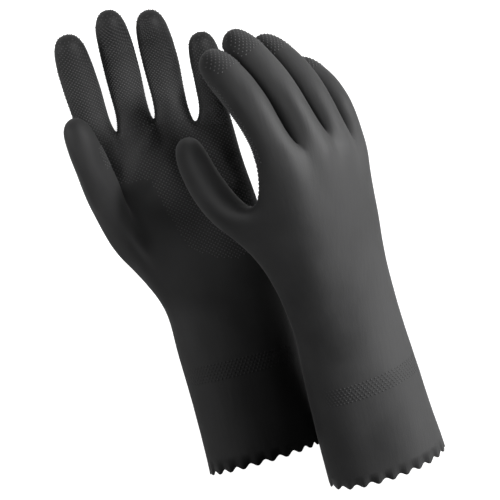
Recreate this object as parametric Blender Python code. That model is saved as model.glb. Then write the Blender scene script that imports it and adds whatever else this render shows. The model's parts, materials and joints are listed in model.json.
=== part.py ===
"""A pair of dipped rubber gauntlets, laid out on a table.

The left glove lies on its back with the palm up. The right glove lies beside and partly over it, back up,
resting on its cuff and fingertips with the thumb side raised. Each glove is one seamless rubber shell with a
scalloped cuff edge and a thin flock lining inside. A glove is first a cage of rings in its own frame
(+X towards the little finger, +Y from the cuff edge to the fingertips, +Z out of the back of the hand), in
millimetres. A subdivided copy of the cage is the rubber's outer face, and the plain cage, drawn in, is the
lining. The left hand is the mirrored cage.
"""

import math
from collections import namedtuple

import bmesh
import bpy
from mathutils import Matrix, Vector
from mathutils.bvhtree import BVHTree

MM = 0.001

# Rubber film, flock lining and the fit between them
RUBBER_WALL = 0.9
LINING_WALL = 0.5
LINING_FIT = 0.35
LINING_HEM = 8.0
LINING_STEP = 0.2
LINING_ROUNDS = 40

# Cuff, from its scalloped edge to the wrist
CUFF_LENGTH = 108.0
CUFF_WIDTH = 73.0
CUFF_HEIGHT = 60.0
CUFF_MIDDLE_SHARE = 0.55
CUFF_NARROWED_SHARE = 0.55
CUFF_LOWERED_SHARE = 0.35
SCALLOP_PITCH = 9.4
SCALLOP_DEPTH = 2.4
SCALLOP_BAND = 4.0

# Wrist and palm
WRIST_WIDTH = 73.3
WRIST_HEIGHT = 44.0
PALM_LENGTH = 108.0
PALM_WIDTH = 99.2
PALM_HEIGHT = 28.0
HEEL_HEIGHT = 42.0
BALL_HEIGHT = 37.0
ROOT_HEIGHT = 31.0
THUMB_SIDE = 13.3
BEND_START_SHARE = 0.8
TWIST_START_SHARE = 0.3
BEND_END_SHARE = 0.3

# Digits: length from the web or from the ball of the thumb, and width at the root
INDEX_LENGTH = 77.5
MIDDLE_LENGTH = 80.7
RING_LENGTH = 77.9
LITTLE_LENGTH = 62.0
THUMB_LENGTH = 88.3
FINGER_WIDTH = 23.5
LITTLE_WIDTH = 22.0
THUMB_WIDTH = 22.0
WEB_DEPTH = 3.0

# The left glove rests on a strip of its back that lies flat on the table
REST_FLAT = 0.8

# The right glove: how far its cuff lies below the left one's, its turn, and its gap to the left one, which it
# lies on the table against
RIGHT_BELOW = 22.7
RIGHT_YAW = 2.2
RIGHT_PITCH = 12.4
RIGHT_ROLL = 23.6
GLOVE_GAP = 0.4

Section = namedtuple("Section", "along middle half_width mid_height half_height spread arch")
Station = namedtuple("Station", "share grown height spread")
Digit = namedtuple("Digit", "length width rings yaw dip")
Pose = namedtuple("Pose", "side extend deviate twist arch gather flatten yaw dip")

# Palm rings: share of the palm's length, how far the width has grown from wrist to palm, height, and how far
# the ring has turned from a round into a row of four finger widths
PALM_STATION_SHARES = (
    Station(0.0, 0.09, WRIST_HEIGHT, 0.15),
    Station(0.23, 0.5, HEEL_HEIGHT, 0.4),
    Station(0.53, 0.66, BALL_HEIGHT, 0.65),
    Station(0.74, 0.9, ROOT_HEIGHT, 0.85),
    Station(1.0, 1.0, PALM_HEIGHT, 1.0),
)

# How far the sides of the finger roots lie past the knuckle line, from the little finger's outer side
ROOT_LINE = (-9.0, -1.0, 7.0, 5.0, -3.0)
ROOT_EDGE_SHARE = 0.96
ROOT_DIP_SHARE = 0.6

# Rings along a digit: share of its length, share of its width
FINGER_RING_SHARES = ((0.16, 1.0), (0.40, 0.97), (0.64, 0.95), (0.85, 0.88), (0.965, 0.58))
THUMB_RING_SHARES = ((0.24, 1.16), (0.44, 1.04), (0.66, 1.0), (0.86, 0.88), (0.965, 0.58))
TIP_SHARE = 1.02
DIGIT_STEPS = 60

# Cage counts: points round the hand and round a digit, the patch that the thumb grows from, and the cuts of
# each rim edge
RING_COUNT = 20
HALF_RING_COUNT = RING_COUNT // 2
LOOP_COUNT = 8
THUMB_ROWS = (3, 4, 5)
THUMB_COLUMNS = (10, 11, 12)
RIM_CUTS = 2

# Softening where a digit grows from the hand: which points of the palm rings take part, and how many rounds
WEB_COLUMNS = (3, 5, 7, 13, 15, 17)
WEB_SOFTEN = 1
BALL_ROWS = (2, 3, 4, 5, 6)
BALL_COLUMNS = (9, 10, 11, 12, 13)
BALL_SOFTEN = 4
SOFTEN_SHARE = 0.5

# Directions of the digits in degrees at their root and tip: yaw towards the little finger, dip to the palm.
# Order: little, ring, middle and index finger, thumb.
LEFT_POSE = Pose(
    side=-1, extend=0.0, deviate=2.8, twist=0.0, arch=4.0, gather=1.0, flatten=-0.5,
    yaw=((9.6, 9.2), (4.0, 3.0), (3.2, 1.8), (-0.2, 2.0), (-14.8, 6.2)),
    dip=((2, 30), (2, 34), (2, 34), (2, 34), (57, -4)))
RIGHT_POSE = Pose(
    side=1, extend=7.2, deviate=-4.7, twist=22.9, arch=9.1, gather=0.96, flatten=3.5,
    yaw=((8.0, -3.0), (1.8, -1.0), (-2.8, -9.3), (-2.1, -6.2), (-34.8, 9.6)),
    dip=((17, 68), (18, 65), (18, 53), (10, 55), (51, 12)))


def cage_swell(count):
    """How much a ring of so many cage points stands outside the smooth ring that it turns into."""
    return 6.0 / (4.0 + 2.0 * math.cos(2.0 * math.pi / count))


def blend(start, end, share):
    return start + (end - start) * share


def ease(value, start, end):
    share = min(1.0, max(0.0, (value - start) / (end - start)))
    return share * share * (3.0 - 2.0 * share)


def hand_sections(pose, start, swell):
    """Cross-sections from a start near the cuff's edge to the knuckles."""
    back = CUFF_HEIGHT / 2.0
    mouth_width = CUFF_WIDTH + pose.flatten
    mouth_height = CUFF_HEIGHT - pose.flatten
    middle_width = blend(mouth_width, WRIST_WIDTH, CUFF_NARROWED_SHARE)
    middle_height = blend(mouth_height, WRIST_HEIGHT, CUFF_LOWERED_SHARE)

    def section(along, middle, width, height, spread):
        return Section(along, middle, width / 2.0 * swell, back - height / 2.0, height / 2.0 * swell, spread,
                       pose.arch)

    reach = CUFF_LENGTH * CUFF_MIDDLE_SHARE
    share = start / reach
    sections = [
        section(start, 0.0, blend(mouth_width, middle_width, share),
                blend(mouth_height, middle_height, share), 0.0),
        section(reach, 0.0, middle_width, middle_height, 0.0),
    ]
    for station in PALM_STATION_SHARES:
        width = blend(WRIST_WIDTH, PALM_WIDTH * pose.gather, station.grown)
        sections.append(section(CUFF_LENGTH + PALM_LENGTH * station.share, -THUMB_SIDE * station.grown, width,
                                station.height, station.spread))
    return sections


def root_step(column):
    """Which side or middle of a finger root a ring point lies at, from 0 at the little finger to 8."""
    return column - 1 if column < HALF_RING_COUNT else RING_COUNT - 1 - column


def section_point(section, column):
    """Point of a ring: an ellipse at the cuff, four even finger widths in a flatter oval at the knuckles."""
    round_across = math.cos(2.0 * math.pi * column / RING_COUNT)
    even_across = round_across
    if column % HALF_RING_COUNT:
        even_across = ROOT_EDGE_SHARE * (1.0 - root_step(column) / 4.0)
    across = blend(round_across, even_across, section.spread)
    power = blend(2.0, 3.0, section.spread)
    rise = max(0.0, 1.0 - abs(across) ** power) ** (1.0 / power)
    if column > HALF_RING_COUNT:
        rise = -rise
    arch = section.arch * section.spread * across * across
    x = section.middle + section.half_width * across
    z = section.mid_height + section.half_height * rise - arch
    return x, z


class Spine:
    """The line through the cuff and hand, bent at the wrist and twisted along the cuff."""

    def __init__(self, pose):
        self.frames = []
        point = Vector()
        end = CUFF_LENGTH + PALM_LENGTH * BEND_END_SHARE
        for along in range(int(CUFF_LENGTH + PALM_LENGTH) + 2):
            bend = ease(along, CUFF_LENGTH * BEND_START_SHARE, end)
            roll = ease(along, CUFF_LENGTH * TWIST_START_SHARE, end)
            turn = (Matrix.Rotation(math.radians(pose.deviate * bend), 4, "Z")
                    @ Matrix.Rotation(math.radians(pose.extend * bend), 4, "X")
                    @ Matrix.Rotation(math.radians(pose.twist * roll), 4, "Y"))
            self.frames.append(Matrix.Translation(point) @ turn)
            point = point + turn.to_3x3() @ Vector((0.0, 1.0, 0.0))

    def place(self, along, x, z):
        index = min(max(0, int(along)), len(self.frames) - 1)
        return self.frames[index] @ Vector((x, along - index, z))


def digit_direction(digit, share):
    """Directions along, across and out of the back of a digit at a share of its length."""
    yaw = math.radians(blend(digit.yaw[0], digit.yaw[1], share))
    dip = math.radians(blend(digit.dip[0], digit.dip[1], share))
    along = Vector((math.sin(yaw) * math.cos(dip), math.cos(yaw) * math.cos(dip), -math.sin(dip)))
    up = Vector((math.sin(yaw) * math.sin(dip), math.cos(yaw) * math.sin(dip), math.cos(dip)))
    across = Vector((math.cos(yaw), -math.sin(yaw), 0.0))
    return along, across, up


def digit_rings(digit, swell):
    """Rings and tip of a finger or thumb that curves evenly from its root direction to its tip direction."""
    length = digit.length
    stations = [Vector()]
    for step in range(DIGIT_STEPS):
        along = digit_direction(digit, (step + 0.5) / DIGIT_STEPS)[0]
        stations.append(stations[-1] + along * (length / DIGIT_STEPS))
    rings = []
    for share, width_share in digit.rings:
        centre = stations[round(share * DIGIT_STEPS)]
        across, up = digit_direction(digit, share)[1:]
        radius = digit.width / 2.0 * width_share * swell
        turns = [2.0 * math.pi * corner / LOOP_COUNT for corner in range(LOOP_COUNT)]
        rings.append([centre + across * radius * math.cos(turn) + up * radius * math.sin(turn)
                      for turn in turns])
    tip = stations[-1] + digit_direction(digit, 1.0)[0] * length * (TIP_SHARE - 1.0)
    return rings, tip


class Cage:
    """Points and faces of one glove in millimetres, from a start near the cuff's edge."""

    def __init__(self, pose, start, smooth):
        self.points = []
        self.faces = []
        self.swell = cage_swell(LOOP_COUNT) if smooth else 1.0
        self.spine = Spine(pose)
        sections = hand_sections(pose, start, cage_swell(RING_COUNT) if smooth else 1.0)
        rows = [self.palm_row(section) for section in sections[:-1]]
        knuckles, webs = self.knuckle_row(sections[-1])
        rows.append(knuckles)
        self.skin_palm(rows)
        self.grow_fingers(knuckles, webs, pose)
        self.grow_thumb(rows, pose)
        if pose.side < 0:
            self.points = [Vector((x, y, -z)) for x, y, z in self.points]

    def add(self, point):
        self.points.append(point)
        return len(self.points) - 1

    def palm_row(self, section):
        row = []
        for column in range(RING_COUNT):
            x, z = section_point(section, column)
            row.append(self.add(self.spine.place(section.along, x, z)))
        return row

    def knuckle_row(self, section):
        """The last ring follows the finger roots, and three web points lie between its back and its palm."""
        row = []
        for column in range(RING_COUNT):
            x, z = section_point(section, column)
            if column == HALF_RING_COUNT:
                past = ROOT_LINE[-1]
            elif column == 0:
                past = ROOT_LINE[0]
            else:
                step = root_step(column)
                past = (ROOT_LINE[step // 2] + ROOT_LINE[(step + 1) // 2]) / 2.0
                past -= WEB_DEPTH if column in WEB_COLUMNS else WEB_DEPTH * ROOT_DIP_SHARE
            row.append(self.add(self.spine.place(section.along + past, x, z)))
        webs = []
        for web in (1, 2, 3):
            x = section_point(section, 1 + 2 * web)[0]
            height = section.mid_height - section.arch * ((x - section.middle) / section.half_width) ** 2
            webs.append(self.add(self.spine.place(section.along + ROOT_LINE[web], x, height)))
        return row, webs

    def skin_palm(self, rows):
        for row in range(len(rows) - 1):
            for column in range(RING_COUNT):
                beside = (column + 1) % RING_COUNT
                in_hole = row in THUMB_ROWS[:2] and column in THUMB_COLUMNS[:2]
                if not in_hole:
                    low, high = rows[row], rows[row + 1]
                    self.faces.append((low[column], low[beside], high[beside], high[column]))

    def grow(self, loop, root, digit):
        """Skin a digit on a loop of points, and give back its first ring."""
        turn = self.spine.frames[-1].to_3x3()
        rings, tip = digit_rings(digit, self.swell)
        rings = [[self.add(root + turn @ point) for point in ring] for ring in rings]
        for low, high in zip([loop, *rings], rings):
            for corner in range(LOOP_COUNT):
                beside = (corner + 1) % LOOP_COUNT
                self.faces.append((low[corner], low[beside], high[beside], high[corner]))
        end = self.add(root + turn @ tip)
        last = rings[-1]
        for corner in range(0, LOOP_COUNT, 2):
            self.faces.append((last[corner], last[corner + 1], last[(corner + 2) % LOOP_COUNT], end))
        return rings[0]

    def grow_fingers(self, knuckles, webs, pose):
        lengths = (LITTLE_LENGTH, RING_LENGTH, MIDDLE_LENGTH, INDEX_LENGTH)
        widths = (LITTLE_WIDTH, FINGER_WIDTH, FINGER_WIDTH, FINGER_WIDTH)
        sides = [knuckles[0], *webs, knuckles[HALF_RING_COUNT]]
        for finger in range(4):
            back = [knuckles[1 + 2 * finger + step] for step in range(3)]
            front = [knuckles[17 - 2 * finger + step] for step in range(3)]
            loop = [sides[finger], *back, sides[finger + 1], *front]
            root = (self.points[sides[finger]] + self.points[sides[finger + 1]]) / 2.0
            self.grow(loop, root, Digit(lengths[finger], widths[finger], FINGER_RING_SHARES, pose.yaw[finger],
                                        pose.dip[finger]))
        self.soften([knuckles[column] for column in WEB_COLUMNS], WEB_SOFTEN)

    def grow_thumb(self, rows, pose):
        low, middle, high = (rows[row] for row in THUMB_ROWS)
        back, side, front = THUMB_COLUMNS
        loop = [middle[front], high[front], high[side], high[back],
                middle[back], low[back], low[side], low[front]]
        root = sum((self.points[index] for index in loop), Vector()) / LOOP_COUNT
        thumb = Digit(THUMB_LENGTH, THUMB_WIDTH, THUMB_RING_SHARES, pose.yaw[4], pose.dip[4])
        ring = self.grow(loop, root, thumb)
        ball = [rows[row][column] for row in BALL_ROWS for column in BALL_COLUMNS]
        ball.remove(middle[side])
        self.soften(ball + ring, BALL_SOFTEN)

    def soften(self, chosen, rounds):
        """Draw points towards the middle of their neighbours, so that the skin flows round a root."""
        beside = {index: set() for index in chosen}
        for face in self.faces:
            for corner, index in enumerate(face):
                if index in beside:
                    beside[index].update((face[corner - 1], face[(corner + 1) % len(face)]))
        for _ in range(rounds):
            moved = {}
            for index, others in beside.items():
                middle = sum((self.points[other] for other in others), Vector()) / len(others)
                moved[index] = blend(self.points[index], middle, SOFTEN_SHARE)
            for index, point in moved.items():
                self.points[index] = point


def cage_mesh(name, cage):
    """The cage as a mesh, without the point that the thumb's opening leaves loose."""
    mesh = bpy.data.meshes.new(name)
    mesh.from_pydata([point * MM for point in cage.points], [], cage.faces)
    bm = bmesh.new()
    bm.from_mesh(mesh)
    loose = [vert for vert in bm.verts if not vert.link_faces]
    bmesh.ops.delete(bm, geom=loose, context="VERTS")
    bm.to_mesh(mesh)
    bm.free()
    return mesh


def smooth_mesh(name, cage):
    """The cage subdivided once, as a mesh of its own."""
    holder = bpy.data.objects.new(name, cage_mesh(name, cage))
    bpy.context.scene.collection.objects.link(holder)
    subdivide = holder.modifiers.new("rounding", "SUBSURF")
    subdivide.levels = 1
    subdivide.render_levels = 1
    depsgraph = bpy.context.evaluated_depsgraph_get()
    mesh = bpy.data.meshes.new_from_object(holder.evaluated_get(depsgraph))
    bpy.data.objects.remove(holder)
    mesh.name = name
    return mesh


def ordered_rim(bm):
    """Boundary points of the open cuff, in order round it."""
    edge = next(edge for edge in bm.edges if edge.is_boundary)
    first, vert = edge.verts
    rim = [first]
    while vert is not first:
        rim.append(vert)
        edge = next(other for other in vert.link_edges if other.is_boundary and other is not edge)
        vert = edge.other_vert(vert)
    return rim


def scallop_cuff(bm):
    """Add a band to the cuff's rim and draw its edge into even waves."""
    rim_edges = [edge for edge in bm.edges if edge.is_boundary]
    grown = bmesh.ops.extrude_edge_only(bm, edges=rim_edges)["geom"]
    band_edges = [item for item in grown if isinstance(item, bmesh.types.BMEdge) and item.is_boundary]
    bmesh.ops.subdivide_edges(bm, edges=band_edges, cuts=RIM_CUTS)
    rim = ordered_rim(bm)
    lengths = [(rim[index].co - rim[index - 1].co).length for index in range(len(rim))]
    around = sum(lengths)
    waves = round(around / (SCALLOP_PITCH * MM))
    travelled = 0.0
    for vert, step in zip(rim, lengths):
        travelled += step
        wave = math.cos(2.0 * math.pi * waves * travelled / around)
        vert.co.y -= (SCALLOP_BAND + SCALLOP_DEPTH * 0.5 * wave) * MM


def lay_back_flat(bm):
    """Press the left glove's back flat where it meets the table."""
    rest = (REST_FLAT - CUFF_HEIGHT / 2.0) * MM
    for vert in bm.verts:
        vert.co.z = max(vert.co.z, rest)


def finish_piece(name, bm, mesh, wall, surface, glove):
    """Turn an open skin into a named piece with a wall inside it."""
    bmesh.ops.recalc_face_normals(bm, faces=bm.faces)
    bm.to_mesh(mesh)
    bm.free()
    mesh.materials.append(surface)
    mesh.shade_smooth()
    piece = bpy.data.objects.new(name, mesh)
    bpy.context.scene.collection.objects.link(piece)
    piece.parent = glove
    modifier = piece.modifiers.new("wall", "SOLIDIFY")
    modifier.thickness = wall * MM
    modifier.offset = -1.0
    modifier.use_quality_normals = True
    return piece


def rubber_shell(name, pose, surface, glove):
    mesh = smooth_mesh(name, Cage(pose, SCALLOP_BAND, smooth=True))
    bm = bmesh.new()
    bm.from_mesh(mesh)
    scallop_cuff(bm)
    if pose.side < 0:
        lay_back_flat(bm)
    return finish_piece(name, bm, mesh, RUBBER_WALL, surface, glove)


def tight_points(bm, rubber):
    """Points of the lining that have too little rubber wall and fit outside them, or outside their faces."""
    room = (RUBBER_WALL + LINING_FIT) * MM
    samples = [(face.calc_center_median(), face.verts) for face in bm.faces]
    for edge in bm.edges:
        first, last = edge.verts
        samples += [(first.co.lerp(last.co, share), edge.verts) for share in (0.0, 0.25, 0.5, 0.75, 1.0)]
    tight = set()
    for sample, verts in samples:
        nearest, outward = rubber.find_nearest(sample)[:2]
        if (nearest - sample).dot(outward) < room:
            tight.update(verts)
    return tight


def flock_lining(name, pose, shell, surface, glove):
    """The plain cage, drawn in along its normals until it lies inside the rubber."""
    skin = shell.data
    rubber = BVHTree.FromPolygons([vert.co for vert in skin.vertices],
                                  [face.vertices[:] for face in skin.polygons])
    mesh = cage_mesh(name, Cage(pose, LINING_HEM, smooth=False))
    bm = bmesh.new()
    bm.from_mesh(mesh)
    bmesh.ops.recalc_face_normals(bm, faces=bm.faces)
    bm.normal_update()
    inward = {}
    for vert in bm.verts:
        around = [edge.other_vert(vert).normal for edge in vert.link_edges]
        inward[vert] = -(vert.normal + sum(around, Vector()) / len(around)).normalized()
    for _ in range(LINING_ROUNDS):
        for vert in tight_points(bm, rubber):
            vert.co += inward[vert] * LINING_STEP * MM
    return finish_piece(name, bm, mesh, LINING_WALL, surface, glove)


def material(name, colour, roughness):
    made = bpy.data.materials.new(name)
    made.use_nodes = True
    shader = made.node_tree.nodes["Principled BSDF"]
    shader.inputs["Base Color"].default_value = (*colour, 1.0)
    shader.inputs["Roughness"].default_value = roughness
    shader.inputs["Metallic"].default_value = 0.0
    return made


def empty(name):
    made = bpy.data.objects.new(name, None)
    bpy.context.scene.collection.objects.link(made)
    return made


def solid_of(piece):
    """Corners, edge middles and face middles of a finished piece in the world, and a tree of its faces."""
    solid = piece.evaluated_get(bpy.context.evaluated_depsgraph_get()).to_mesh()
    corners = [piece.matrix_world @ vert.co for vert in solid.vertices]
    samples = list(corners)
    samples += [(corners[edge.vertices[0]] + corners[edge.vertices[1]]) / 2.0 for edge in solid.edges]
    samples += [piece.matrix_world @ face.center for face in solid.polygons]
    tree = BVHTree.FromPolygons(corners, [tuple(face.vertices) for face in solid.polygons])
    return samples, tree


def room_towards(mover, other, way):
    """How far one piece can move along a direction before it comes too near to another one."""
    mover_samples, mover_tree = solid_of(mover)
    other_samples, other_tree = solid_of(other)
    room = math.inf
    for samples, tree, look in ((mover_samples, other_tree, way), (other_samples, mover_tree, -way)):
        for sample in samples:
            distance = tree.ray_cast(sample, look)[3]
            if distance is not None:
                room = min(room, distance - GLOVE_GAP * MM)
    return room


def centre_pair(gloves, shells):
    """Put the middle of the pair's outline over the origin."""
    samples = [sample for shell in shells for sample in solid_of(shell)[0]]
    for axis in (0, 1):
        places = [sample[axis] for sample in samples]
        for glove in gloves:
            glove.location[axis] -= (min(places) + max(places)) / 2.0


def main():
    for obj in list(bpy.data.objects):
        bpy.data.objects.remove(obj)
    left = empty("left_glove")
    right = empty("right_glove")
    shells = []
    for side, pose, glove in (("left", LEFT_POSE, left), ("right", RIGHT_POSE, right)):
        rubber = material(side + "_black_rubber", (0.03, 0.03, 0.03), 0.5)
        flock = material(side + "_cotton_flock", (0.55, 0.53, 0.48), 0.95)
        shells.append(rubber_shell(side + "_rubber_shell", pose, rubber, glove))
        flock_lining(side + "_flock_lining", pose, shells[-1], flock, glove)
    left.location.z = (CUFF_HEIGHT / 2.0 - REST_FLAT) * MM
    right.location = Vector((CUFF_WIDTH + PALM_WIDTH, -RIGHT_BELOW, 0.0)) * MM
    right.rotation_mode = "YXZ"
    right.rotation_euler = [math.radians(angle) for angle in (RIGHT_PITCH, RIGHT_ROLL, RIGHT_YAW)]
    bpy.context.view_layer.update()
    right.location.z -= min(sample.z for sample in solid_of(shells[1])[0])
    bpy.context.view_layer.update()
    right.location.x -= room_towards(shells[1], shells[0], Vector((-1.0, 0.0, 0.0)))
    bpy.context.view_layer.update()
    centre_pair((left, right), shells)


main()
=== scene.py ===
"""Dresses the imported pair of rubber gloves.

Each glove gets a rubber film, grip pips, a knurled cuff band and a flock layer, and the pair gets a floor,
light and a camera. A glove is drawn in its own frame (+X towards the little finger, +Y from the cuff edge to
the fingertips, +Z out of the back of the hand) in millimetres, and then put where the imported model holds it,
in metres.
"""

import json
import math
from collections import namedtuple

import bmesh
import bpy
from mathutils import Matrix, Vector, noise
from mathutils.bvhtree import BVHTree

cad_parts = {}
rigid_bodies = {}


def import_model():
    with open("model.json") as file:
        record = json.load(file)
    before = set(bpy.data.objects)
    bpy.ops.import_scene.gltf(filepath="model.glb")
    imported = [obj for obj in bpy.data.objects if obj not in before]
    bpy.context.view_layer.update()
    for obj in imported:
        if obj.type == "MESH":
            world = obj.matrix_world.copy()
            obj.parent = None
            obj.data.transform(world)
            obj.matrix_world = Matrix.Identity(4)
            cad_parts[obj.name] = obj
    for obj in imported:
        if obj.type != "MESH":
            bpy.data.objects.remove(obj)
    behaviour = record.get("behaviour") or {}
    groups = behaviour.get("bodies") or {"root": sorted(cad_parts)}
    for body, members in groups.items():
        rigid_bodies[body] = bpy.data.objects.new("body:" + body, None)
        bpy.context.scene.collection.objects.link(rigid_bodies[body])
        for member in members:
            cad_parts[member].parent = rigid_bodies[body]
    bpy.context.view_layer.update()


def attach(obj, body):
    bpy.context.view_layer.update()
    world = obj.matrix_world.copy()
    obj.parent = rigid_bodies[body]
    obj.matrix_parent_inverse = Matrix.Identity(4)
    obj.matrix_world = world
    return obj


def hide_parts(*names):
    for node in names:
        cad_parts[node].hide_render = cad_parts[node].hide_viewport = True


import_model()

MM = 0.001

# Film, lining and cuff edge
RUBBER_WALL = 0.9
LINING_GAP = 0.7
LINING_WALL = 0.5
LINING_HEM = 8.0
LINING_SOFTEN = 4
SCALLOP_PITCH = 9.4
SCALLOP_DEPTH = 2.6
SCALLOP_UNEVENNESS = 0.18
SCALLOP_UNEVENNESS_SCALE = 0.05

# Cuff, wrist and palm
CUFF_LENGTH = 108.0
CUFF_WIDTH = 73.0
CUFF_HEIGHT = 60.0
CUFF_MIDDLE = 0.55
CUFF_MIDDLE_NARROWED = 0.55
CUFF_MIDDLE_LOWERED = 0.35
WRIST_WIDTH = 73.3
WRIST_HEIGHT = 44.0
PALM_LENGTH = 108.0
PALM_WIDTH = 99.2
PALM_HEIGHT = 28.0
HEEL_HEIGHT = 42.0
BALL_HEIGHT = 37.0
ROOT_HEIGHT = 31.0
THUMB_SIDE = 13.3
BEND_START = 0.8
TWIST_START = 0.3
BEND_END = 0.3

# Digits, in the order little, ring, middle and index finger, thumb, with rings at shares of length and width
FINGERS = 4
THUMB = 4
DIGIT_LENGTHS = (62.0, 77.9, 80.7, 77.5, 88.3)
DIGIT_WIDTHS = (21.4, 23.5, 23.5, 24.4, 22.4)
FINGER_RINGS = ((0.16, 0.85), (0.40, 0.95), (0.64, 0.95), (0.85, 0.88), (0.965, 0.58))
THUMB_RINGS = ((0.24, 1.14), (0.44, 0.98), (0.66, 0.93), (0.86, 0.87), (0.965, 0.58))
TIP_REACH = 1.02
DIGIT_STEPS = 60
WEB_DEPTH = 3.0
ROOT_LINE = (-9.0, -3.4, 7.0, 5.0, -3.0)
ROOT_EDGE = 0.96
ROOT_DIP = 0.6
CUFF_POWER = 2.0
ROOT_POWER = 3.0

# Counts of the cage that the skin is smoothed from
RING = 20
HALF_RING = RING // 2
LOOP = 8
THUMB_ROWS = (3, 4, 5)
THUMB_COLUMNS = (10, 11, 12)
WEB_COLUMNS = (3, 5, 7, 13, 15, 17)
WEB_SOFTEN = 1
BALL_ROWS = (2, 3, 4, 5, 6)
BALL_COLUMNS = (9, 10, 11, 12, 13)
BALL_SOFTEN = 4
SOFTEN_SHARE = 0.5
SKIN_LEVELS = 3

# Where the ball of the thumb runs into the palm, in the hand's frame from the knuckle line
VALLEY_PLACE = Vector((-40.0, -68.0, -5.0))
VALLEY_REACH = 42.0
VALLEY_FACING = 0.15
VALLEY_ROUNDS = 180

# Folds of the palm: start, end, half width and height, in the hand's frame from the knuckle line
PALM_FOLDS = (
    (Vector((-14.0, 2.0)), Vector((-39.0, -27.0)), 2.8, 2.6),
    (Vector((-10.0, -5.0)), Vector((-31.0, -32.0)), 3.2, -0.8),
    (Vector((-5.0, -11.0)), Vector((-32.0, -40.0)), 4.4, 1.4),
)
FOLD_RISES = (-0.15, 0.2)
FOLD_FALLS = (0.75, 1.15)

# Hollows of the palm: place and reach across and along the hand, and depth
PALM_HOLLOWS = ((-4.0, -34.0, 22.0, 26.0, 3.0), (-41.0, -13.0, 9.0, 12.0, 6.0))

# Knuckles, and the slack of the film as heights and scales of two noises
KNUCKLE_RISE = 0.7
KNUCKLE_BACK = 8.0
KNUCKLE_REACH = (8.0, 10.0)
SLACK = ((0.40, 0.03), (0.14, 0.09))

# Where a glove's sides stand out or fall in: which side, place and reach across and along the hand, how far
LEFT_BULGES = ((-1, -60.0, -62.0, 28.0, 26.0, 7.6), (-1, -42.0, -112.0, 20.0, 18.0, -2.4),
               (1, 36.0, -30.0, 20.0, 36.0, -2.0))
RIGHT_BULGES = ((1, 42.0, -20.0, 20.0, 28.0, -2.4), (-1, -48.0, -18.0, 20.0, 24.0, 2.2))

# The thumb's edge of the palm's grip pips, as places along and across the hand from the knuckle line
PIP_EDGE = ((-92.0, 12.0), (-89.0, 3.0), (-79.0, -12.8), (-70.0, -15.9), (-56.0, -19.7), (-41.0, -23.0),
            (-29.0, -25.0), (-25.0, -60.0), (40.0, -60.0))

# Grip pips: where they are on the digits, the fingertips and the palm, and their spacing and size
FINGER_GRIP_START = 0.02
FINGER_GRIP_SIDE = -0.22
THUMB_GRIP_START = 0.58
THUMB_GRIP_SIDE = 0.9
TIP_SHARE = 0.76
TIP_END = 1.01
TIP_FACING = 0.24
TIP_PATCH = 0.72
TIP_PATCH_CURVE = 0.12
TIP_PATCH_SIDE = 0.84
PALM_FACING = 0.3
PALM_ARCH_SHARE = 0.8
PIP_PITCH = 2.65
PIP_ROW = 1.32
PIP_RADIUS = 0.62
PIP_SQUASH = 0.85
PIP_HEIGHT = 0.46
PIP_SIDES = 6

# Knurled band, which fades out towards the sides of the cuff
KNURL_PITCH = 2.3
KNURL_ROW = 1.9
KNURL_ROWS = 6
KNURL_FROM_EDGE = 60.0
KNURL_HEIGHT = 0.22
KNURL_LEAST = 0.05
KNURL_FADE = (0.25, 0.75)
KNURL_LENGTH = 0.62
KNURL_BREADTH = 0.46
KNURL_SIDES = 4

# Studs: height of the foot, height and width of the shoulder, least sine between a stud and its row's way
STUD_FOOT = -0.25
STUD_SHOULDER = (0.72, 0.62)
STUD_SINE = 0.2

# How far from the middle of a digit, the palm or the cuff the film is looked for
DIGIT_SEARCH = 24.0
PALM_SEARCH = 44.0
CUFF_SEARCH = 60.0

# Rubber and flock: colours, noise scales, where the colours start and end, roughness, bumps and sheen
NOISE_RANGE = (0.3, 0.7)
CLOUD_DETAIL = 5.0
GRAIN_DETAIL = 3.0
STREAK_DETAIL = 4.0
STREAK_STRETCH = (330.0, 26.0, 330.0)
RUBBER_DARK = (0.019, 0.019, 0.0195)
RUBBER_PALE = (0.036, 0.036, 0.0365)
RUBBER_SCALES = (22.0, 1400.0)
RUBBER_BAND = (0.34, 0.68)
RUBBER_ROUGHNESS = (0.58, 0.72)
RUBBER_GRAIN = (0.12, 0.0004)
RUBBER_STREAK = (0.10, 0.0012)
RUBBER_SHEEN = (0.08, 0.5)
RUBBER_SPECULAR = 0.4
# How many times paler the pips' rubber is painted: a painted highlight on the pips' tops
PIP_HIGHLIGHT_PALENESS = 3.0
FLOCK_DARK = (0.40, 0.385, 0.35)
FLOCK_PALE = (0.66, 0.64, 0.59)
FLOCK_SCALES = (60.0, 2600.0)
FLOCK_BAND = (0.30, 0.72)
FLOCK_ROUGHNESS = (0.90, 1.0)
FLOCK_GRAIN = (0.6, 0.0006)
FLOCK_SHEEN = (0.5, 0.4)

# Floor, world and camera
WHITE = (1.0, 1.0, 1.0, 1.0)
FLOOR_SIZE = 6.0
FLOOR_GREY = (0.5, 0.5, 0.5, 1.0)
FLOOR_ROUGHNESS = 0.9
FLOOR_GLOW = 0.95
WORLD_GLOW = 0.04
SENSOR = 36.0
VIEW_HEIGHT = 1.3
VIEW_WIDTH = 0.3225
VIEW_PLACE = (0.00338, -0.00432, VIEW_HEIGHT)
VIEW_ROLL = 13.72
VIEW_END = 20.0

Section = namedtuple("Section", "along middle half_width mid_height half_height spread arch")
Station = namedtuple("Station", "share grown height spread")
Digit = namedtuple("Digit", "length width rings yaw dip")
Pose = namedtuple("Pose", "extend deviate twist arch gather flatten flare sway slant yaw dip")
Line = namedtuple("Line", "root turn digit stations")
Lamp = namedtuple("Lamp", "name place target size power cone")

PALM_STATIONS = (
    Station(0.0, 0.09, WRIST_HEIGHT, 0.15),
    Station(0.23, 0.5, HEEL_HEIGHT, 0.4),
    Station(0.53, 0.66, BALL_HEIGHT, 0.65),
    Station(0.74, 0.9, ROOT_HEIGHT, 0.85),
    Station(1.0, 1.0, PALM_HEIGHT, 1.0),
)

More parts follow.
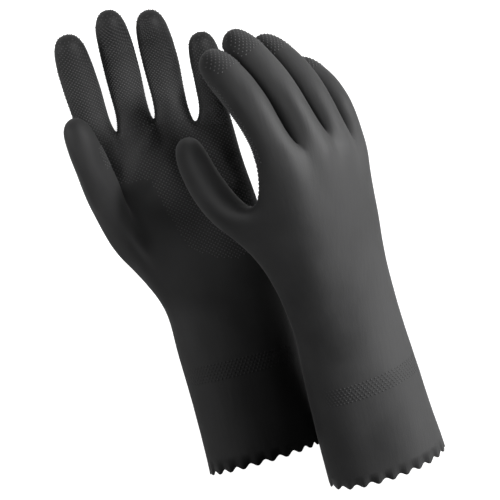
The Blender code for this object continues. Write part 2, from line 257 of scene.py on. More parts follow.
# Poses: how the wrist bends, turns and twists, the arch and gathered width of the palm, the shape and slant
# of the cuff's mouth, and the yaw and dip of each digit at its root and its tip
LEFT_POSE = Pose(
    extend=0.0, deviate=2.8, twist=0.0, arch=4.0, gather=1.0, flatten=-0.5, flare=0.0, sway=0.0,
    slant=0.045, yaw=((14.4, -3.6), (5.8, 0.4), (3.4, 2.6), (-1.0, 1.4), (-7.4, -7.0)),
    dip=((2, 30), (2, 40), (2, 39), (2, 38), (57, -4)))
RIGHT_POSE = Pose(
    extend=7.2, deviate=-4.7, twist=22.9, arch=9.1, gather=0.96, flatten=3.5, flare=4.2, sway=2.8,
    slant=-0.02, yaw=((8.6, -2.4), (1.4, -4.6), (-3.0, -13.4), (-4.4, -6.4), (-34.8, 9.6)),
    dip=((17, 67), (18, 62), (18, 49), (10, 55), (51, 12)))

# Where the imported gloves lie: the left one palm up, the right one turned and tilted over it
LEFT_PLACE = (
    Matrix.Translation((-0.0182325, -0.1329339, 0.0292))
    @ Matrix.Diagonal((MM, MM, -MM, 1.0)))
RIGHT_PLACE = (
    Matrix.Translation((0.0523099, -0.1556339, 0.0275629))
    @ Matrix.Rotation(math.radians(2.2), 4, "Z")
    @ Matrix.Rotation(math.radians(12.4), 4, "X")
    @ Matrix.Rotation(math.radians(23.6), 4, "Y")
    @ Matrix.Diagonal((MM, MM, MM, 1.0)))

# Lamps that light one glove and the floor, with a cone for those that are spots
RIGHT_LAMPS = (
    Lamp("right_key", (1.40, 0.10, 0.50), (0.04, 0.0, 0.06), 0.7, 31.0, None),
    Lamp("right_top", (-0.25, 0.0, 1.10), (0.04, 0.0, 0.06), 0.6, 4.8, None),
    Lamp("back_fill", (0.35, 1.35, 0.30), (0.03, 0.08, 0.08), 0.6, 4.5, None),
)
LEFT_LAMPS = (
    Lamp("left_fill", (-0.75, 0.30, 0.34), (-0.05, 0.05, 0.03), 0.35, 2.2, None),
    Lamp("finger_spot", (0.55, 0.27, 0.75), (-0.060, 0.100, 0.04), 0.12, 33.0, 15.5),
    Lamp("palm_spot", (0.10, -0.35, 0.95), (-0.060, 0.034, 0.03), 0.12, 13.0, 9.0),
    Lamp("root_spot", (-0.10, -0.30, 0.95), (-0.034, 0.080, 0.03), 0.12, 19.0, 4.6),
)


def blend(start, end, share):
    return start + (end - start) * share


def ease(value, start, end):
    share = min(1.0, max(0.0, (value - start) / (end - start)))
    return share * share * (3.0 - 2.0 * share)


def hump(x, y, centre_x, centre_y, reach_x, reach_y):
    """A soft round swelling, 1 at its centre."""
    return math.exp(-((x - centre_x) / reach_x) ** 2 - ((y - centre_y) / reach_y) ** 2)


def cage_swell(count):
    """How much a ring of so many cage points stands outside the smooth ring that it turns into."""
    return 6.0 / (4.0 + 2.0 * math.cos(2.0 * math.pi / count))


def deselect_all():
    if bpy.context.mode != "OBJECT":
        bpy.ops.object.mode_set(mode="OBJECT")
    bpy.ops.object.select_all(action="DESELECT")


def work_on(piece):
    """Make a piece the only selected one."""
    deselect_all()
    piece.select_set(True)
    bpy.context.view_layer.objects.active = piece


# The cage of a glove


def hand_sections(pose):
    """Rings of the hand from the cuff's mouth to the knuckles."""
    back = CUFF_HEIGHT / 2.0
    swell = cage_swell(RING)
    mouth_width = CUFF_WIDTH + pose.flatten + pose.flare
    mouth_height = CUFF_HEIGHT - pose.flatten
    middle_width = blend(mouth_width, WRIST_WIDTH, CUFF_MIDDLE_NARROWED)
    middle_height = blend(mouth_height, WRIST_HEIGHT, CUFF_MIDDLE_LOWERED)

    def section(along, middle, width, height, spread):
        return Section(along, middle, width / 2.0 * swell, back - height / 2.0, height / 2.0 * swell,
                       spread, pose.arch)

    sections = [
        section(0.0, pose.sway, mouth_width, mouth_height, 0.0),
        section(CUFF_LENGTH * CUFF_MIDDLE, 0.0, middle_width, middle_height, 0.0),
    ]
    for station in PALM_STATIONS:
        along = CUFF_LENGTH + PALM_LENGTH * station.share
        width = blend(WRIST_WIDTH, PALM_WIDTH * pose.gather, station.grown)
        sections.append(section(along, -THUMB_SIDE * station.grown, width, station.height, station.spread))
    return sections


def root_step(column):
    """Steps of half a finger from the little finger's side, on the back or on the palm."""
    return column - 1 if column < HALF_RING else RING - 1 - column


def section_point(section, column):
    """Point of a ring: an ellipse at the cuff, four even finger widths in a fuller oval at the knuckles."""
    round_across = math.cos(2.0 * math.pi * column / RING)
    even_across = round_across
    if column % HALF_RING:
        even_across = ROOT_EDGE * (1.0 - root_step(column) / FINGERS)
    across = blend(round_across, even_across, section.spread)
    power = blend(CUFF_POWER, ROOT_POWER, section.spread)
    rise = max(0.0, 1.0 - abs(across) ** power) ** (1.0 / power)
    if column > HALF_RING:
        rise = -rise
    arch = section.arch * section.spread * across * across
    height = section.mid_height + section.half_height * rise - arch
    return section.middle + section.half_width * across, height


class Spine:
    """The line through the cuff and hand, bent at the wrist and twisted along the cuff."""

    def __init__(self, pose):
        self.frames = []
        point = Vector()
        end = CUFF_LENGTH + PALM_LENGTH * BEND_END
        for along in range(int(CUFF_LENGTH + PALM_LENGTH) + 2):
            bend = ease(along, CUFF_LENGTH * BEND_START, end)
            roll = ease(along, CUFF_LENGTH * TWIST_START, end)
            turn = (Matrix.Rotation(math.radians(pose.deviate * bend), 4, "Z")
                    @ Matrix.Rotation(math.radians(pose.extend * bend), 4, "X")
                    @ Matrix.Rotation(math.radians(pose.twist * roll), 4, "Y"))
            self.frames.append(Matrix.Translation(point) @ turn)
            point = point + turn.to_3x3() @ Vector((0.0, 1.0, 0.0))

    def place(self, along, x, z):
        index = min(max(0, int(along)), len(self.frames) - 1)
        return self.frames[index] @ Vector((x, along - index, z))


def digit_direction(digit, share):
    """Directions along, across and out of the back of a digit at a share of its length."""
    yaw = math.radians(blend(digit.yaw[0], digit.yaw[1], share))
    dip = math.radians(blend(digit.dip[0], digit.dip[1], share))
    along = Vector((math.sin(yaw) * math.cos(dip), math.cos(yaw) * math.cos(dip), -math.sin(dip)))
    up = Vector((math.sin(yaw) * math.sin(dip), math.cos(yaw) * math.sin(dip), math.cos(dip)))
    across = Vector((math.cos(yaw), -math.sin(yaw), 0.0))
    return along, across, up


class Cage:
    """Points and faces of one glove, with the middle lines of its digits."""

    def __init__(self, pose):
        self.points = []
        self.faces = []
        self.lines = []
        self.spine = Spine(pose)
        self.sections = hand_sections(pose)
        rows = [self.palm_row(section) for section in self.sections[:-1]]
        knuckles, webs = self.knuckle_row(self.sections[-1])
        rows.append(knuckles)
        self.skin_palm(rows)
        self.grow_fingers(knuckles, webs, pose)
        self.grow_thumb(rows, pose)

    def add(self, point):
        self.points.append(point)
        return len(self.points) - 1

    def palm_row(self, section):
        row = []
        for column in range(RING):
            x, z = section_point(section, column)
            row.append(self.add(self.spine.place(section.along, x, z)))
        return row

    def knuckle_row(self, section):
        """The last ring follows the finger roots, and three web points lie between its back and palm."""
        row = []
        for column in range(RING):
            x, z = section_point(section, column)
            if column == HALF_RING:
                past = ROOT_LINE[-1]
            elif column == 0:
                past = ROOT_LINE[0]
            else:
                step = root_step(column)
                past = (ROOT_LINE[step // 2] + ROOT_LINE[(step + 1) // 2]) / 2.0
                past -= WEB_DEPTH if column in WEB_COLUMNS else WEB_DEPTH * ROOT_DIP
            row.append(self.add(self.spine.place(section.along + past, x, z)))
        webs = []
        for web in (1, 2, 3):
            x = section_point(section, 1 + 2 * web)[0]
            height = section.mid_height - section.arch * ((x - section.middle) / section.half_width) ** 2
            webs.append(self.add(self.spine.place(section.along + ROOT_LINE[web], x, height)))
        return row, webs

    def skin_palm(self, rows):
        for row in range(len(rows) - 1):
            for column in range(RING):
                beside = (column + 1) % RING
                in_hole = row in THUMB_ROWS[:2] and column in THUMB_COLUMNS[:2]
                if not in_hole:
                    low, high = rows[row], rows[row + 1]
                    self.faces.append((low[column], low[beside], high[beside], high[column]))

    def grow(self, loop, root, digit):
        """Skin a digit on a loop of points, and give back its first ring."""
        turn = self.spine.frames[-1].to_3x3()
        stations = [Vector()]
        for step in range(DIGIT_STEPS):
            along = digit_direction(digit, (step + 0.5) / DIGIT_STEPS)[0]
            stations.append(stations[-1] + along * (digit.length / DIGIT_STEPS))
        self.lines.append(Line(root, turn, digit, stations))
        rings = []
        for share, width_share in digit.rings:
            centre = stations[round(share * DIGIT_STEPS)]
            across, up = digit_direction(digit, share)[1:]
            radius = digit.width / 2.0 * width_share * cage_swell(LOOP)
            ring = []
            for corner in range(LOOP):
                angle = 2.0 * math.pi * corner / LOOP
                point = centre + across * radius * math.cos(angle) + up * radius * math.sin(angle)
                ring.append(self.add(root + turn @ point))
            rings.append(ring)
        for low, high in zip([loop, *rings], rings):
            for corner in range(LOOP):
                beside = (corner + 1) % LOOP
                self.faces.append((low[corner], low[beside], high[beside], high[corner]))
        tip = stations[-1] + digit_direction(digit, 1.0)[0] * digit.length * (TIP_REACH - 1.0)
        end = self.add(root + turn @ tip)
        last = rings[-1]
        for corner in range(0, LOOP, 2):
            self.faces.append((last[corner], last[corner + 1], last[(corner + 2) % LOOP], end))
        return rings[0]

    def grow_fingers(self, knuckles, webs, pose):
        sides = [knuckles[0], *webs, knuckles[HALF_RING]]
        for finger in range(FINGERS):
            back = [knuckles[1 + 2 * finger + step] for step in range(3)]
            front = [knuckles[RING - 3 - 2 * finger + step] for step in range(3)]
            loop = [sides[finger], *back, sides[finger + 1], *front]
            root = (self.points[sides[finger]] + self.points[sides[finger + 1]]) / 2.0
            self.grow(loop, root, Digit(DIGIT_LENGTHS[finger], DIGIT_WIDTHS[finger], FINGER_RINGS,
                                        pose.yaw[finger], pose.dip[finger]))
        self.soften([knuckles[column] for column in WEB_COLUMNS], WEB_SOFTEN)

    def grow_thumb(self, rows, pose):
        low, middle, high = (rows[row] for row in THUMB_ROWS)
        back, side, front = THUMB_COLUMNS
        loop = [middle[front], high[front], high[side], high[back],
                middle[back], low[back], low[side], low[front]]
        root = sum((self.points[index] for index in loop), Vector()) / LOOP
        ring = self.grow(loop, root, Digit(DIGIT_LENGTHS[THUMB], DIGIT_WIDTHS[THUMB], THUMB_RINGS,
                                           pose.yaw[THUMB], pose.dip[THUMB]))
        ball = [rows[row][column] for row in BALL_ROWS for column in BALL_COLUMNS]
        ball.remove(middle[side])
        self.soften(ball + ring, BALL_SOFTEN)

    def soften(self, chosen, rounds):
        """Draw points towards the middle of their neighbours, so that the skin flows round a root."""
        beside = {index: set() for index in chosen}
        for face in self.faces:
            for corner, index in enumerate(face):
                if index in beside:
                    beside[index].update((face[corner - 1], face[(corner + 1) % len(face)]))
        for _ in range(rounds):
            moved = {}
            for index, others in beside.items():
                middle = sum((self.points[other] for other in others), Vector()) / len(others)
                moved[index] = blend(self.points[index], middle, SOFTEN_SHARE)
            for index, point in moved.items():
                self.points[index] = point


# Skins, walls and edges


def skin_from_cage(name, cage):
    """The smoothed cage as an open skin, in the glove's own millimetres."""
    mesh = bpy.data.meshes.new(name)
    mesh.from_pydata(cage.points, [], cage.faces)
    piece = bpy.data.objects.new(name, mesh)
    bpy.context.scene.collection.objects.link(piece)
    work_on(piece)
    bpy.ops.object.mode_set(mode="EDIT")
    bpy.ops.mesh.select_all(action="SELECT")
    bpy.ops.mesh.delete_loose(use_verts=True, use_edges=True, use_faces=False)
    bpy.ops.mesh.select_all(action="SELECT")
    bpy.ops.mesh.normals_make_consistent(inside=False)
    bpy.ops.object.mode_set(mode="OBJECT")
    rounding = piece.modifiers.new("rounding", "SUBSURF")
    rounding.levels = SKIN_LEVELS
    rounding.render_levels = SKIN_LEVELS
    bpy.ops.object.modifier_apply(modifier=rounding.name)
    return piece


def select_rim(piece):
    """Select the open edge of the cuff, in edit mode."""
    work_on(piece)
    bpy.ops.object.mode_set(mode="EDIT")
    bpy.ops.mesh.select_mode(type="EDGE")
    bpy.ops.mesh.select_all(action="DESELECT")
    bpy.ops.mesh.select_non_manifold(extend=False, use_wire=False, use_boundary=True, use_multi_face=False,
                                     use_non_contiguous=False, use_verts=False)


def scallop_edge(piece, slant):
    """Cut the cuff's edge finer, and draw it out at a slight slant and into waves."""
    select_rim(piece)
    bpy.ops.mesh.subdivide(number_cuts=1)
    bpy.ops.object.mode_set(mode="OBJECT")
    bm = bmesh.new()
    bm.from_mesh(piece.data)
    edge = next(edge for edge in bm.edges if edge.is_boundary)
    first, vert = edge.verts
    rim = [first]
    while vert is not first:
        rim.append(vert)
        edge = next(other for other in vert.link_edges if other.is_boundary and other is not edge)
        vert = edge.other_vert(vert)
    steps = [(rim[index].co - rim[index - 1].co).length for index in range(len(rim))]
    around = sum(steps)
    waves = round(around / SCALLOP_PITCH)
    travelled = 0.0
    for vert, step in zip(rim, steps):
        travelled += step
        swing = math.cos(2.0 * math.pi * waves * travelled / around)
        stray = SCALLOP_UNEVENNESS * noise.noise(vert.co * SCALLOP_UNEVENNESS_SCALE)
        vert.co.y += slant * vert.co.x - SCALLOP_DEPTH * 0.5 * (swing + stray)
    bm.to_mesh(piece.data)
    bm.free()


def rest_on_table(piece, place, clearance):
    """Press a skin flat where it would sink below a height over the table."""
    back = place.inverted()
    for vert in piece.data.vertices:
        there = place @ vert.co
        if there.z < clearance * MM:
            there.z = clearance * MM
            vert.co = back @ there


def fold(x, y, start, end, reach):
    """A soft ridge along a line, 1 on its crest and 0 away from it and at its ends."""
    way = end - start
    share = ((x - start.x) * way.x + (y - start.y) * way.y) / way.length_squared
    aside = ((x - start.x) * way.y - (y - start.y) * way.x) / way.length
    return math.exp(-(aside / reach) ** 2) * ease(share, *FOLD_RISES) * (1.0 - ease(share, *FOLD_FALLS))


def push_out(piece, cage, amount_at):
    """Move a skin along its normals, by what a function of place and normal in the hand's frame gives."""
    to_hand = cage.spine.frames[-1].inverted()
    turn = to_hand.to_3x3()
    normals = [vert.normal.copy() for vert in piece.data.vertices]
    for vert, normal in zip(piece.data.vertices, normals):
        vert.co += normal * amount_at(to_hand @ vert.co, turn @ normal)


def shape_sides(piece, cage, bulges):
    """Let the sides of the hand stand out or fall in."""

    def amount_at(place, normal):
        return sum(amount * max(0.0, side * normal.x) * hump(place.x, place.y, x, y, reach_x, reach_y)
                   for side, x, y, reach_x, reach_y, amount in bulges)

    push_out(piece, cage, amount_at)


def shape_film(piece, cage, folds):
    """Work the hollow of the palm, its folds, the knuckles and slack unevenness into a smooth skin."""
    to_hand = cage.spine.frames[-1].inverted()
    roots = [to_hand @ line.root for line in cage.lines[:FINGERS]]

    def amount_at(place, normal):
        x, y, _ = place
        push = sum(height * noise.noise(place * scale) for height, scale in SLACK)
        if normal.z > 0.0:
            return push + normal.z * sum(
                KNUCKLE_RISE * hump(x, y, root.x, root.y - KNUCKLE_BACK, *KNUCKLE_REACH) for root in roots)
        rise = sum(height * fold(x, y, start, end, reach) for start, end, reach, height in folds)
        for across, along, reach_x, reach_y, depth in PALM_HOLLOWS:
            rise -= depth * hump(x, y, across, along, reach_x, reach_y)
        return push - rise * normal.z

    push_out(piece, cage, amount_at)


def smooth_thumb_valley(piece, cage):
    """Let the film run evenly from the ball of the thumb into the palm."""
    from_hand = cage.spine.frames[-1]
    middle = from_hand @ VALLEY_PLACE
    out_of_palm = from_hand.to_3x3() @ Vector((0.0, 0.0, -1.0))
    work_on(piece)
    bpy.ops.object.mode_set(mode="EDIT")
    bpy.ops.mesh.select_mode(type="VERT")
    bpy.ops.mesh.select_all(action="DESELECT")
    bm = bmesh.from_edit_mesh(piece.data)
    for vert in bm.verts:
        reach = (vert.co - middle).length
        vert.select_set(reach < VALLEY_REACH and vert.normal.dot(out_of_palm) > VALLEY_FACING)
    bm.select_flush_mode()
    bmesh.update_edit_mesh(piece.data)
    bpy.ops.mesh.vertices_smooth(factor=SOFTEN_SHARE, repeat=VALLEY_ROUNDS)
    bpy.ops.object.mode_set(mode="OBJECT")


def add_wall(piece, thickness):
    """Give an open skin a wall on its inner side."""
    work_on(piece)
    wall = piece.modifiers.new("wall", "SOLIDIFY")
    wall.thickness = thickness
    wall.offset = -1.0
    wall.use_quality_normals = True
    bpy.ops.object.modifier_apply(modifier=wall.name)


def lining_from(film, name, place):
    """A softened copy of the open film, cut off at the hem, drawn inside it and given its own wall."""
    work_on(film)
    bpy.ops.object.duplicate()
    lining = bpy.context.object
    lining.name = name
    bpy.ops.object.mode_set(mode="EDIT")
    bpy.ops.mesh.select_all(action="SELECT")
    bpy.ops.mesh.vertices_smooth(factor=SOFTEN_SHARE, repeat=LINING_SOFTEN)
    bpy.ops.mesh.bisect(plane_co=(0.0, LINING_HEM, 0.0), plane_no=(0.0, 1.0, 0.0), clear_inner=True)
    bpy.ops.object.mode_set(mode="OBJECT")
    draw_in = RUBBER_WALL + LINING_GAP
    normals = [vert.normal.copy() for vert in lining.data.vertices]
    for vert, normal in zip(lining.data.vertices, normals):
        vert.co -= normal * draw_in
    rest_on_table(lining, place, KNURL_HEIGHT + draw_in)
    add_wall(lining, LINING_WALL)
    return lining


def put_in_place(piece, place, surface, body):
    """Move a finished mesh from the glove's frame to where the glove lies, and let it ride on its body."""
    piece.data.transform(place)
    if place.determinant() < 0.0:
        piece.data.flip_normals()
    piece.data.materials.clear()
    piece.data.materials.append(surface)
    work_on(piece)
    bpy.ops.object.shade_smooth()
    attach(piece, body)


# Studs: grip pips and the knurled band


class Studs:
    """Many small raised studs, each a low faceted dome with its foot sunk in the film."""

    def __init__(self, film):
        mesh = film.data
        self.tree = BVHTree.FromPolygons([vert.co for vert in mesh.vertices],
                                         [face.vertices[:] for face in mesh.polygons])
        self.points = []
        self.faces = []

    def find(self, start, way, reach):
        return self.tree.ray_cast(start, way.normalized(), reach)[:2]

    def add(self, foot, outward, along, length, width, height, sides):
        outward = outward.normalized()
        across = outward.cross(along)
        if across.length < STUD_SINE:
            return
        across.normalize()
        lengthwise = across.cross(outward)
        base = len(self.points)
        shoulder_height, shoulder_width = STUD_SHOULDER
        for rise, share in ((STUD_FOOT, 1.0), (height * shoulder_height, shoulder_width)):
            for side in range(sides):
                angle = 2.0 * math.pi * side / sides
                self.points.append(foot + outward * rise + lengthwise * length * share * math.cos(angle)
                                   + across * width * share * math.sin(angle))
        self.points.append(foot + outward * height)
        top = len(self.points) - 1
        for side in range(sides):
            beside = (side + 1) % sides
            self.faces.append((base + side, base + beside, base + sides + beside, base + sides + side))
            self.faces.append((base + sides + side, base + sides + beside, top))
        self.faces.append(tuple(base + side for side in reversed(range(sides))))

    def add_pip(self, foot, outward, along):
        self.add(foot, outward, along, PIP_RADIUS * PIP_SQUASH, PIP_RADIUS, PIP_HEIGHT, PIP_SIDES)

    def piece(self, name):
        mesh = bpy.data.meshes.new(name)
        mesh.from_pydata(self.points, [], self.faces)
        made = bpy.data.objects.new(name, mesh)
        bpy.context.scene.collection.objects.link(made)
        return made


def middle_at(line, share):
    """Point on the middle line of a digit."""
    step = min(share * DIGIT_STEPS, DIGIT_STEPS - 0.001)
    low = int(step)
    return line.root + line.turn @ blend(line.stations[low], line.stations[low + 1], step - low)


def grips_here(number, share, angle):
    """Whether a digit has pips at a share of its length and an angle from its +X side towards its back."""
    if number == THUMB:
        return share > THUMB_GRIP_START and math.cos(angle) > THUMB_GRIP_SIDE
    return share > FINGER_GRIP_START and math.sin(angle) < FINGER_GRIP_SIDE


def pips_round_digit(studs, number, line):
    """Staggered rows of pips on the gripping side of a digit, up to where its tip starts."""
    digit = line.digit
    count = 2 * round(math.pi * digit.width * 0.5 / PIP_PITCH)
    for row in range(int(digit.length * TIP_SHARE / PIP_ROW)):
        share = row * PIP_ROW / digit.length
        centre = middle_at(line, share)
        along, across, up = (line.turn @ way for way in digit_direction(digit, share))
        for step in range(count):
            angle = 2.0 * math.pi * (step + 0.5 * (row % 2)) / count
            if grips_here(number, share, angle):
                way = across * math.cos(angle) + up * math.sin(angle)
                foot, outward = studs.find(centre, way, DIGIT_SEARCH)
                if foot is not None:
                    studs.add_pip(foot, outward, along)


def pips_on_tip(studs, line):
    """Staggered columns of pips over a fingertip: all over its pad, and a rounded patch on its back."""
    digit = line.digit
    columns = int(digit.width / PIP_PITCH) + 1
    first = int(digit.length * TIP_SHARE / PIP_ROW)
    for row in range(first, int(digit.length * TIP_END / PIP_ROW)):
        share = min(1.0, row * PIP_ROW / digit.length)
        centre = middle_at(line, share)
        along, across, up = (line.turn @ way for way in digit_direction(digit, share))
        for step in range(-columns, columns + 1):
            aside = (step + 0.5 * (row % 2)) * PIP_PITCH
            bent = aside / (digit.width * 0.5)
            on_back = share > TIP_PATCH + TIP_PATCH_CURVE * bent ** 4 and abs(bent) < TIP_PATCH_SIDE
            for way, wanted in ((up, on_back), (-up, True)):
                foot, outward = studs.find(centre + across * aside, way, DIGIT_SEARCH)
                if wanted and foot is not None and outward.dot(way) > TIP_FACING:
                    studs.add_pip(foot, outward, along)


def pip_edge(y):
    """How far across the hand the palm's pips start at a place along it."""
    for (low, near), (high, far) in zip(PIP_EDGE, PIP_EDGE[1:]):
        if low <= y <= high:
            return blend(near, far, (y - low) / (high - low))
    return math.inf


def pips_on_palm(studs, cage):
    """Staggered rows of pips under the fingers and down the little finger's side of the palm."""
    knuckles = cage.sections[-1]
    to_hand = cage.spine.frames[-1].inverted()
    columns = int(PALM_WIDTH / PIP_PITCH)
    for row in range(int((PALM_LENGTH + max(ROOT_LINE)) / PIP_ROW)):
        along = CUFF_LENGTH + row * PIP_ROW
        down = cage.spine.place(along, 0.0, -1.0) - cage.spine.place(along, 0.0, 0.0)
        ahead = cage.spine.place(along, 0.0, 0.0) - cage.spine.place(along - 1.0, 0.0, 0.0)
        for step in range(columns):
            across = (step + 0.5 * (row % 2)) / columns * 2.0 - 1.0
            x = knuckles.middle + knuckles.half_width * across
            height = knuckles.mid_height - knuckles.arch * across * across * PALM_ARCH_SHARE
            foot, outward = studs.find(cage.spine.place(along, x, height), down, PALM_SEARCH)
            if foot is not None and outward.dot(down) > PALM_FACING:
                here = to_hand @ foot
                if here.x > pip_edge(here.y):
                    studs.add_pip(foot, outward, ahead)


def knurl_band(studs, cage):
    """Staggered rows of small diamonds round the cuff, thinning out at its sides."""
    section = cage.sections[1]
    around = math.pi * (section.half_width + section.half_height)
    count = round(around / KNURL_PITCH)
    for row in range(KNURL_ROWS):
        along = KNURL_FROM_EDGE + (row - (KNURL_ROWS - 1) / 2.0) * KNURL_ROW
        centre = cage.spine.place(along, 0.0, section.mid_height)
        side = cage.spine.place(along, 1.0, section.mid_height) - centre
        up = cage.spine.place(along, 0.0, section.mid_height + 1.0) - centre
        ahead = up.cross(side)
        for step in range(count):
            angle = 2.0 * math.pi * (step + 0.5 * (row % 2)) / count
            height = KNURL_HEIGHT * ease(abs(math.sin(angle)), *KNURL_FADE)
            if height > KNURL_LEAST:
                way = (side * math.cos(angle) * section.half_width
                       + up * math.sin(angle) * section.half_height)
                foot, outward = studs.find(centre, way, CUFF_SEARCH)
                if foot is not None:
                    studs.add(foot, outward, ahead, KNURL_ROW * KNURL_LENGTH, KNURL_PITCH * KNURL_BREADTH,
                              height, KNURL_SIDES)


# Finishes


def new_group(name, inputs, outputs):
    group = bpy.data.node_groups.new(name, "ShaderNodeTree")
    for title, kind, value in inputs:
        socket = group.interface.new_socket(title, in_out="INPUT", socket_type=kind)
        socket.default_value = value
    for title, kind in outputs:
        group.interface.new_socket(title, in_out="OUTPUT", socket_type=kind)
    return group, group.nodes.new("NodeGroupInput"), group.nodes.new("NodeGroupOutput")


def speckle_group():
    """Cloudy tone, fine grain and long streaks on Object coordinates, as values from 0 to 1."""
    group, given, put = new_group(
        "film_unevenness",
        [("Cloud Scale", "NodeSocketFloat", RUBBER_SCALES[0]),
         ("Grain Scale", "NodeSocketFloat", RUBBER_SCALES[1])],
        [("Cloud", "NodeSocketFloat"), ("Grain", "NodeSocketFloat"), ("Streak", "NodeSocketFloat")])
    nodes, links = group.nodes, group.links
    place = nodes.new("ShaderNodeTexCoord")
    cloud = nodes.new("ShaderNodeTexNoise")
    cloud.inputs["Detail"].default_value = CLOUD_DETAIL
    grain = nodes.new("ShaderNodeTexNoise")
    grain.inputs["Detail"].default_value = GRAIN_DETAIL
    stretch = nodes.new("ShaderNodeMapping")
    stretch.inputs["Scale"].default_value = STREAK_STRETCH
    streak = nodes.new("ShaderNodeTexNoise")
    streak.inputs["Scale"].default_value = 1.0
    streak.inputs["Detail"].default_value = STREAK_DETAIL
    for texture, title in ((cloud, "Cloud"), (grain, "Grain")):
        links.new(place.outputs["Object"], texture.inputs["Vector"])
        links.new(given.outputs[title + " Scale"], texture.inputs["Scale"])
        links.new(texture.outputs["Fac"], put.inputs[title])
    links.new(place.outputs["Object"], stretch.inputs["Vector"])
    links.new(stretch.outputs["Vector"], streak.inputs["Vector"])
    links.new(streak.outputs["Fac"], put.inputs["Streak"])
    return group


def new_finish(name, slot):
    made = bpy.data.materials.new(name)
    made.use_nodes = True
    made["slot"] = slot
    return made, made.node_tree.nodes, made.node_tree.links, made.node_tree.nodes["Principled BSDF"]


def uneven_film(nodes, unevenness, scales):
    """The shared unevenness with a finish's own scales."""
    film = nodes.new("ShaderNodeGroup")
    film.node_tree = unevenness
    film.inputs["Cloud Scale"].default_value = scales[0]
    film.inputs["Grain Scale"].default_value = scales[1]
    return film


def ramp(nodes, links, value, band, dark, light):
    """A colour that goes from dark to light between two values."""
    made = nodes.new("ShaderNodeValToRGB")
    for end, place, colour in zip(made.color_ramp.elements, band, (dark, light)):
        end.position = place
        end.color = (*colour, 1.0)
    links.new(value, made.inputs["Fac"])
    return made.outputs["Color"]


def spread(nodes, links, value, low, high):
    """A value stretched from the usual range of a noise to a new one."""
    made = nodes.new("ShaderNodeMapRange")
    made.inputs["From Min"].default_value = NOISE_RANGE[0]
    made.inputs["From Max"].default_value = NOISE_RANGE[1]
    made.inputs["To Min"].default_value = low
    made.inputs["To Max"].default_value = high
    links.new(value, made.inputs["Value"])
    return made.outputs["Result"]


def bump(nodes, links, height, strength, distance, below=None):
    made = nodes.new("ShaderNodeBump")
    made.inputs["Strength"].default_value = strength
    made.inputs["Distance"].default_value = distance
    links.new(height, made.inputs["Height"])
    if below is not None:
        links.new(below, made.inputs["Normal"])
    return made.outputs["Normal"]


def set_sheen(shader, sheen):
    shader.inputs["Sheen Weight"].default_value = sheen[0]
    shader.inputs["Sheen Roughness"].default_value = sheen[1]


def dipped_rubber(name, slot, unevenness, highlight_paleness):
    """Matte black rubber with a powdery bloom, faint streaks and a fine grain, its colour made paler by a
    factor that paints highlight on the pips.
    """
    made, nodes, links, shader = new_finish(name, slot)
    film = uneven_film(nodes, unevenness, RUBBER_SCALES)
    dark = tuple(highlight_paleness * share for share in RUBBER_DARK)
    pale = tuple(highlight_paleness * share for share in RUBBER_PALE)
    tone = ramp(nodes, links, film.outputs["Cloud"], RUBBER_BAND, dark, pale)
    links.new(tone, shader.inputs["Base Color"])
    links.new(spread(nodes, links, film.outputs["Cloud"], *RUBBER_ROUGHNESS), shader.inputs["Roughness"])
    grain = bump(nodes, links, film.outputs["Grain"], *RUBBER_GRAIN)
    streak = bump(nodes, links, film.outputs["Streak"], *RUBBER_STREAK, grain)
    links.new(streak, shader.inputs["Normal"])
    shader.inputs["Specular IOR Level"].default_value = RUBBER_SPECULAR
    set_sheen(shader, RUBBER_SHEEN)
    return made


def cotton_flock(name, slot, unevenness):
    """Short cotton fibres: pale, uneven and fully matte."""
    made, nodes, links, shader = new_finish(name, slot)
    film = uneven_film(nodes, unevenness, FLOCK_SCALES)
    tone = ramp(nodes, links, film.outputs["Grain"], FLOCK_BAND, FLOCK_DARK, FLOCK_PALE)
    links.new(tone, shader.inputs["Base Color"])
    links.new(spread(nodes, links, film.outputs["Cloud"], *FLOCK_ROUGHNESS), shader.inputs["Roughness"])
    links.new(bump(nodes, links, film.outputs["Grain"], *FLOCK_GRAIN), shader.inputs["Normal"])
    set_sheen(shader, FLOCK_SHEEN)
    return made


# The gloves


def make_glove(side, pose, place, bulges, unevenness):
    """Make a glove's film, pips, knurls and lining in its own frame, and put them in place."""
    body = side + "_glove"
    rubber = dipped_rubber(side + "_dipped_rubber", side + "_black_rubber", unevenness, 1.0)
    # A paler copy of the rubber for the pips, painting a highlight on their tops
    pip_highlight_finish = dipped_rubber(side + "_worn_rubber", side + "_black_rubber", unevenness, PIP_HIGHLIGHT_PALENESS)
    flock = cotton_flock(side + "_flock_fibres", side + "_cotton_flock", unevenness)
    cage = Cage(pose)
    film = skin_from_cage(side + "_rubber_film", cage)
    shape_sides(film, cage, bulges)
    smooth_thumb_valley(film, cage)
    shape_film(film, cage, PALM_FOLDS)
    rest_on_table(film, place, KNURL_HEIGHT)
    pips = Studs(film)
    for number, line in enumerate(cage.lines):
        pips_round_digit(pips, number, line)
    for line in cage.lines[:FINGERS]:
        pips_on_tip(pips, line)
    pips_on_palm(pips, cage)
    knurls = Studs(film)
    knurl_band(knurls, cage)
    lining = lining_from(film, side + "_flock_layer", place)
    scallop_edge(film, pose.slant)
    rest_on_table(film, place, KNURL_HEIGHT)
    add_wall(film, RUBBER_WALL)
    put_in_place(film, place, rubber, body)
    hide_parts(side + "_rubber_shell")
    # The pips get the paler rubber, a painted highlight on their tops
    put_in_place(pips.piece(side + "_grip_pips"), place, pip_highlight_finish, body)
    put_in_place(knurls.piece(side + "_cuff_knurls"), place, rubber, body)
    put_in_place(lining, place, flock, body)
    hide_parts(side + "_flock_lining")


# Floor, light and camera


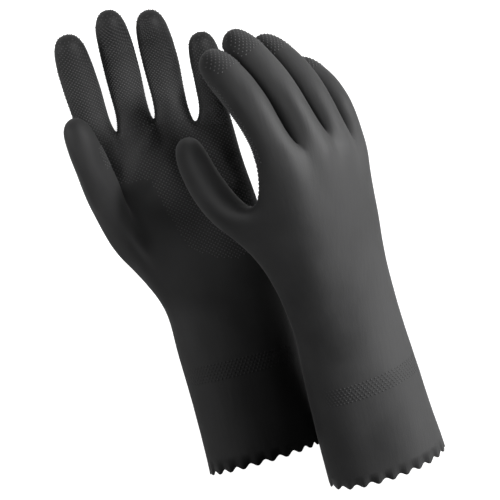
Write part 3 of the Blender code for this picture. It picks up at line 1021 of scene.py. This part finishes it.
def make_floor():
    """A plain pale floor with a glow that doesn't fall on the gloves."""
    deselect_all()
    bpy.ops.mesh.primitive_plane_add(size=FLOOR_SIZE, location=(0.0, 0.0, 0.0))
    floor = bpy.context.object
    floor.name = "pale_floor"
    paint, _, _, shader = new_finish("pale_floor_paint", "floor")
    shader.inputs["Base Color"].default_value = FLOOR_GREY
    shader.inputs["Roughness"].default_value = FLOOR_ROUGHNESS
    shader.inputs["Emission Color"].default_value = WHITE
    shader.inputs["Emission Strength"].default_value = FLOOR_GLOW
    floor.data.materials.append(paint)
    lit = bpy.data.collections.new("lit_by_floor")
    lit.objects.link(floor)
    floor.light_linking.receiver_collection = lit


def hang_lamp(lamp):
    """A round lamp, or a soft-edged spot where a cone is given."""
    if lamp.cone is None:
        light = bpy.data.lights.new(lamp.name, "AREA")
        light.shape = "DISK"
        light.size = lamp.size
    else:
        light = bpy.data.lights.new(lamp.name, "SPOT")
        light.shadow_soft_size = lamp.size / 2.0
        light.spot_size = math.radians(lamp.cone)
        light.spot_blend = 1.0
    light.energy = lamp.power
    hung = bpy.data.objects.new(lamp.name, light)
    bpy.context.scene.collection.objects.link(hung)
    hung.location = lamp.place
    hung.visible_camera = False
    hung.rotation_euler = (Vector(lamp.target) - Vector(lamp.place)).to_track_quat("-Z", "Y").to_euler()
    return hung


def make_light():
    """A dim white world, and lamps that are each kept off one of the gloves."""
    bpy.context.scene.view_settings.view_transform = "Standard"
    world = bpy.data.worlds.new("studio")
    bpy.context.scene.world = world
    world.use_nodes = True
    world.node_tree.nodes["Background"].inputs["Color"].default_value = WHITE
    world.node_tree.nodes["Background"].inputs["Strength"].default_value = WORLD_GLOW
    for_right = [hang_lamp(lamp) for lamp in RIGHT_LAMPS]
    for_left = [hang_lamp(lamp) for lamp in LEFT_LAMPS]
    for kept_off, hung in (("left", for_right), ("right", for_left)):
        lit = bpy.data.collections.new("lit_beside_" + kept_off)
        for piece in bpy.context.scene.objects:
            if piece.type == "MESH" and not piece.name.startswith(kept_off):
                lit.objects.link(piece)
        for lamp in hung:
            lamp.light_linking.receiver_collection = lit


def make_camera():
    """A long lens straight above the pair, rolled to the photograph's angle."""
    lens = bpy.data.cameras.new("view")
    lens.sensor_width = SENSOR
    lens.lens = SENSOR * VIEW_HEIGHT / VIEW_WIDTH
    lens.clip_end = VIEW_END
    camera = bpy.data.objects.new("view", lens)
    bpy.context.scene.collection.objects.link(camera)
    camera.location = VIEW_PLACE
    camera.rotation_euler = (0.0, 0.0, -math.radians(VIEW_ROLL))
    bpy.context.scene.camera = camera


film_unevenness = speckle_group()
make_glove("left", LEFT_POSE, LEFT_PLACE, LEFT_BULGES, film_unevenness)
make_glove("right", RIGHT_POSE, RIGHT_PLACE, RIGHT_BULGES, film_unevenness)
make_floor()
make_light()
make_camera()
deselect_all()
